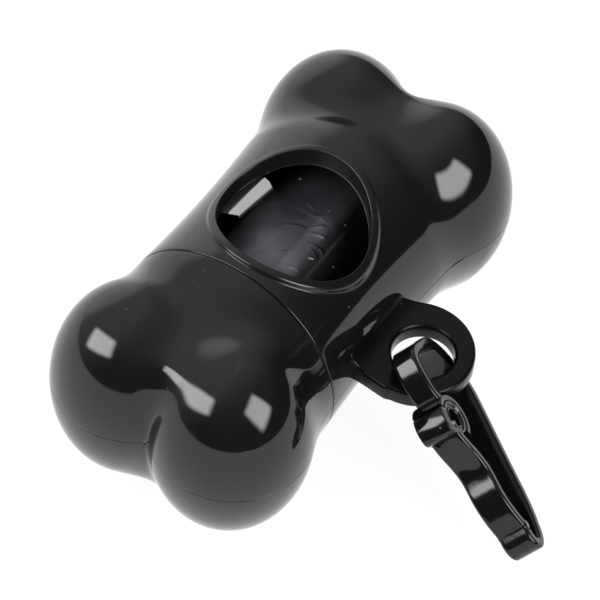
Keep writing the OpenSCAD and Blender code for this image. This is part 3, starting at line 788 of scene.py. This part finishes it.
def makeGate(material):
    gate = Mould()
    section = strapSection(clip["gateThick"], clip["width"], clip["gateCorner"])
    grid = sweep(smoothRoute(gateRoute, clip["routeSteps"]), section)
    for s, w, size, depth in gateDips:
        away = ((grid[..., 0] - s) ** 2 + (grid[..., 2] - w) ** 2) / size**2
        grid[..., 1] -= depth * np.exp(-away) * (section[:, 0] < 0)
    closeSweep(gate, grid)
    h, edge, mouth = clip["width"] / 2 + clip["play"], clip["headEdge"], clip["holeEdge"]
    r0, r1, r2, r3 = clip["groove"]
    floor = h - clip["grooveDepth"]
    tube = mirrored(arc(clip["headRadius"] - edge, h - edge, edge, 0, 90, 5)
                    + [(r3, h), (r2, floor), (r1, floor), (r0, h)]
                    + arc(clip["headHole"] + mouth, h - mouth, mouth, 90, 180, 5))
    lathe(gate, clip["catch"], tube + tube[:1], 96, clip)
    h, r, edge = clip["width"] / 2, clip["hingeRadius"], clip["hingeEdge"]
    lathe(gate, clip["hinge"], mirrored([(0.01, h), (r - edge, h), (r, h - edge)]))
    makePiece("clipGate", gate, "gate", material, sharp=50, replaced=("clip_gate",))


clipPlastic = makeClipPlastic("polishedClipPlastic", finishes["clip"])
makeHook(clipPlastic)
makeGate(clipPlastic)
print("clip made")

# Bag roll
roll = {
    "z": -0.6, "radius": 13.05, "length": 55.0, "core": 6.0, "coreWall": 0.8, "coreRoom": 0.03,
    "looseEdge": 118.0, "film": 0.3, "sheet": 0.04, "slack": 0.42, "dents": 26, "creases": 46,
    "wraps": 34, "stagger": 0.12, "wobble": 0.05, "seed": 7,
}
# Short raised creases: x, turn in degrees, length and width in mm, lean, height
filmCreases = [(3.2, 104, 2.6, 0.22, 0.5, 0.30), (4.6, 101, 2.2, 0.20, 0.9, 0.26), (1.2, 108, 3.2, 0.26, 0.2, 0.30),
               (0.2, 110, 2.4, 0.20, -0.3, 0.26), (-0.9, 111, 1.6, 0.20, 0.6, 0.24), (6.2, 97, 2.0, 0.22, 0.1, 0.22),
               (-4.5, 106, 2.4, 0.25, 0.4, 0.20), (-6.8, 103, 1.8, 0.22, -0.2, 0.24), (-2.6, 96, 3.0, 0.3, 0.8, 0.14),
               (7.5, 84, 2.2, 0.25, -0.5, 0.16), (2.5, 88, 3.4, 0.3, 0.3, 0.10), (-6.0, 84, 3.0, 0.3, -0.4, 0.10)]
# The loose end of the film that stands off the roll beside it, edge by edge from the roll outwards
looseEnd = [[(2.1, 11.0, 6.3), (9.2, 9.0, 8.0)], [(2.36, 11.45, 6.62), (9.3, 9.5, 8.2)],
            [(1.6, 12.3, 7.0), (9.5, 10.3, 9.0)], [(0.93, 13.06, 7.37), (9.3, 11.01, 9.66)],
            [(0.4, 13.9, 7.3), (8.8, 11.9, 9.9)], [(0.2, 14.7, 6.6), (8.4, 12.8, 9.5)]]


# Angle from one turn to another, the short way round
def turnFrom(a, b):
    return np.angle(np.exp(1j * (a - b)))


def makeRoll():
    rng = np.random.default_rng(roll["seed"])
    xs = np.linspace(-roll["length"] / 2, roll["length"] / 2, int(260 / fine))
    turns = np.linspace(0, 360, int(360 / fine), endpoint=False)
    x, a = np.meshgrid(xs, np.radians(turns), indexing="ij")
    radius = np.full_like(x, roll["radius"] - roll["slack"])
    for _ in range(roll["dents"]):  # broad soft dents of the wound layers
        kx, ka = rng.uniform(0.02, 0.25), rng.integers(1, 8)
        radius += rng.uniform(-0.022, 0.022) * np.cos(kx * x + ka * a + rng.uniform(0, 6.28))
    for _ in range(roll["creases"]):  # short creases that run round the roll
        cx, ca = rng.uniform(-26, 26), rng.uniform(0, 6.28)
        lean = rng.uniform(-0.5, 0.5)
        da = turnFrom(a, ca)
        across = (x - cx) - lean * da * 10
        radius += (rng.uniform(-0.12, 0.1) * np.exp(-(across / rng.uniform(0.25, 0.8)) ** 2)
                   * np.exp(-(da / rng.uniform(0.08, 0.3)) ** 2))
    for cx, turn, length, wide, lean, height in filmCreases:
        roundWay = turnFrom(a, math.radians(turn)) * roll["radius"]
        across = (x - cx) * math.cos(lean) - roundWay * math.sin(lean) + 0.10 * roundWay**2
        along = (x - cx) * math.sin(lean) + roundWay * math.cos(lean)
        radius += height * np.exp(-(across / wide) ** 2) * np.exp(-(along / (length / 2)) ** 4)
    loose = np.degrees(turnFrom(a, math.radians(roll["looseEdge"])))
    step = 0.5 / (1 + np.exp(np.clip(-loose * 6, -40, 40)))  # where the last layer ends
    radius += roll["film"] * step * np.exp(-np.clip(loose, 0, None) / 60)
    radius = np.minimum(radius, roll["radius"])
    outer = np.stack([x, radius * np.cos(a), roll["z"] + radius * np.sin(a)], -1)
    m = Mould()
    ids = m.add(outer)
    m.skin(ids, wrap=True)
    rings = np.linspace(roll["radius"] - 0.4, roll["core"] + 0.02, roll["wraps"])
    angles = np.radians(turns)
    bore = []
    for end, sign in ((0, -1), (-1, 1)):
        at = xs[end] - sign * roll["stagger"] * (np.arange(len(rings)) % 2)  # every other layer stands back
        wobble = rng.uniform(-roll["wobble"], roll["wobble"], len(rings))
        r = rings[:, None] + wobble[:, None] * np.cos(3 * angles)
        across = np.repeat(at[:, None], len(angles), 1)
        faceIds = m.add(np.stack([across, r * np.cos(angles), roll["z"] + r * np.sin(angles)], -1))
        m.skin(np.vstack([ids[end][None], faceIds]), wrap=True)
        bore.append(faceIds[-1])
    m.skin(np.array(bore), wrap=True)
    makePiece("bagRoll", m, "roll", bagFilm, sharp=70, replaced=("bag_roll",))


def makeLooseEnd():
    edges = np.array(looseEnd, float)
    share = np.linspace(0, 1, 22)[None, :, None]
    sheet = edges[:, :1] * (1 - share) + edges[:, 1:] * share
    lift = unit(np.array([-0.35, -0.62, 0.70])) * roll["sheet"]  # about square to the sheet
    flap = Mould()
    ids = flap.add(np.concatenate([sheet + lift, (sheet - lift)[::-1]]))
    flap.skin(np.vstack([ids, ids[:1]]))
    for end in (0, -1):
        flap.skin(np.stack([ids[:len(edges), end], ids[len(edges):, end][::-1]]))
    makePiece("looseBagEnd", flap, "roll", looseFilm, sharp=60)


def makeCore():
    core = Mould()
    t = np.linspace(0, 2 * math.pi, 72, endpoint=False)
    r0, r1, half = roll["core"] - roll["coreWall"], roll["core"] - roll["coreRoom"], roll["length"] / 2
    section = [(r0, -half), (r1, -half), (r1, half), (r0, half), (r0, -half)]
    core.skin(core.add([[(w, r * math.cos(k), roll["z"] + r * math.sin(k)) for k in t] for r, w in section]), wrap=True)
    makePiece("rollCore", core, "roll", coreCard, replaced=("roll_core",))


makeRoll()
makeLooseEnd()
makeCore()
print("roll made")

# Floor, light and world. The gloss shows a dark room above the floor, pale towards the far left.
studio = {
    "floorZ": -21.1, "sheet": ((-300, -330), (420, 200)), "sheetColour": (0.88, 0.88, 0.88, 1),
    "shadow": 0.12, "sheetGlow": 1.05, "roomLight": (0.16, 0.16, 0.17, 1), "cloth": (0.97, 0.96, 1, 1),
    "roomRadius": 2400, "roomFoot": -4.5, "dark": 0.03, "overhead": 0.15,
    "haze": {"azimuth": 75, "elevation": 38, "from": 0.0, "to": 0.9, "glow": 0.5},
    "sweep": {"azimuth": 60, "elevation": 6, "from": 0.80, "to": 0.95, "glow": 0.7},
    "windows": {"leftWindow": {"azimuth": 143, "elevation": 26, "roll": 25, "distance": 620, "size": (640, 300),
                               "glow": 8.5, "soft": 0.22},
                "rightWindow": {"azimuth": -101, "elevation": 31, "roll": -60, "distance": 620, "size": (500, 430),
                                "glow": 7.5, "soft": 0.22}},
    "lamps": {"keyLamp": {"azimuth": 148, "elevation": 38, "distance": 800, "size": 500, "power": 7.5},
              "fillLamp": {"azimuth": -97, "elevation": 40, "distance": 800, "size": 500, "power": 7.5}},
}


def heading(azimuth, elevation):
    a, e = math.radians(azimuth), math.radians(elevation)
    return Vector((math.cos(a) * math.cos(e), math.sin(a) * math.cos(e), math.sin(e)))


def makeLamp(name, spec, window):
    data = bpy.data.lights.new(name, "AREA")
    if window:
        data.shape = "RECTANGLE"
        data.size, data.size_y = spec["size"][0] * mm, spec["size"][1] * mm
        data.energy = spec["glow"] * math.pi * data.size * data.size_y
        data.use_nodes = True
        f = Finish(data.node_tree)
        across = f.node("ShaderNodeNewGeometry", out="Parametric")  # 0 to 1 over the pane
        edge = 1.0
        for way in ((1, 0, 0), (0, 1, 0)):
            along = f.towards(across, way)
            edge = f.between(along, 0, spec["soft"]) * f.between(along, 1, 1 - spec["soft"]) * edge
        pane = f.blend(edge, (0, 0, 0, 1), (1, 1, 1, 1))
        shine = f.node("ShaderNodeEmission", inputs={"Color": pane})
        f.node("ShaderNodeOutputLight", inputs={"Surface": shine})
    else:
        data.shape, data.size, data.energy = "SQUARE", spec["size"] * mm, spec["power"]
    lamp = bpy.data.objects.new(name, data)
    bpy.context.scene.collection.objects.link(lamp)
    away = heading(spec["azimuth"], spec["elevation"])
    lamp.location = away * spec["distance"] * mm
    lamp.rotation_mode = "QUATERNION"
    lamp.rotation_quaternion = away.to_track_quat("Z", "Y") @ Quaternion((0, 0, 1), math.radians(spec.get("roll", 0)))
    lamp.visible_camera = False
    lamp.visible_diffuse = not window
    lamp.visible_glossy = window


def stagePiece(name, points, faces, material):
    mesh = bpy.data.meshes.new(name)
    mesh.from_pydata([tuple(c * mm for c in p) for p in points], [], faces)
    mesh.materials.append(material)
    piece = bpy.data.objects.new(name, mesh)
    bpy.context.scene.collection.objects.link(piece)
    return piece


# The white background counts for what the eye, gloss and glass see, and not as light on the object
def seenWhite(f):
    kinds = ("Is Camera Ray", "Is Glossy Ray", "Is Transmission Ray")
    seen = [f.node("ShaderNodeLightPath", out=kind) for kind in kinds]
    return f.between(seen[0] + seen[1] + seen[2], 0, 1)


def makeFloor():
    material, f = newMaterial("whiteSheet")
    lit = f.node("ShaderNodeBsdfDiffuse", inputs={"Color": studio["sheetColour"]})
    glow = f.node("ShaderNodeEmission", inputs={"Strength": studio["sheetGlow"]})
    mixed = f.node("ShaderNodeMixShader", inputs={0: seenWhite(f) * (1 - studio["shadow"]), 1: lit, 2: glow})
    f.node("ShaderNodeOutputMaterial", inputs={"Surface": mixed})
    (x0, y0), (x1, y1) = studio["sheet"]
    z = studio["floorZ"]
    stagePiece("floorSheet", [(x0, y0, z), (x1, y0, z), (x1, y1, z), (x0, y1, z)], [(0, 1, 2, 3)], material)


def makeDarkRoom():
    material, f = newMaterial("darkRoomCloth")
    at = f.node("ShaderNodeVectorMath", {"operation": "NORMALIZE"}, {0: f.place()})
    brightest = studio["dark"] + studio["overhead"] + studio["haze"]["glow"] + studio["sweep"]["glow"]
    glow = studio["dark"] + studio["overhead"] * f.between(f.towards(at, (0, 0, 1)), 0.1, 0.9)
    for name in ("haze", "sweep"):
        patch = studio[name]
        near = f.towards(at, heading(patch["azimuth"], patch["elevation"]))
        glow = glow + patch["glow"] * f.between(near, patch["from"], patch["to"])
    cloth = f.blend(glow / brightest, (0, 0, 0, 1), studio["cloth"])
    shine = f.node("ShaderNodeEmission", inputs={"Color": cloth, "Strength": brightest})
    f.node("ShaderNodeOutputMaterial", inputs={"Surface": shine})
    radius, turns, rises = studio["roomRadius"], 48, 14
    points = [heading(360 * j / turns, e) * radius
              for e in np.linspace(studio["roomFoot"], 90, rises) for j in range(turns)]
    faces = [(i * turns + j, i * turns + (j + 1) % turns, (i + 1) * turns + (j + 1) % turns, (i + 1) * turns + j)
             for i in range(rises - 1) for j in range(turns)]
    room = stagePiece("darkRoom", points, faces, material)
    room.visible_camera = room.visible_diffuse = room.visible_transmission = room.visible_shadow = False


def makeStudio():
    makeFloor()
    makeDarkRoom()
    for name, spec in studio["windows"].items():
        makeLamp(name, spec, True)
    for name, spec in studio["lamps"].items():
        makeLamp(name, spec, False)
    world = bpy.data.worlds.new("paleRoom")
    bpy.context.scene.world = world
    world.use_nodes = True
    f = Finish(world.node_tree)
    soft = f.node("ShaderNodeBackground", inputs={"Color": studio["roomLight"]})
    white = f.node("ShaderNodeBackground", inputs={"Color": (1, 1, 1, 1)})
    mixed = f.node("ShaderNodeMixShader", inputs={0: seenWhite(f), 1: soft, 2: white})
    f.node("ShaderNodeOutputWorld", inputs={"Surface": mixed})
    bpy.context.scene.view_settings.view_transform = "Standard"


makeStudio()
print("studio made")
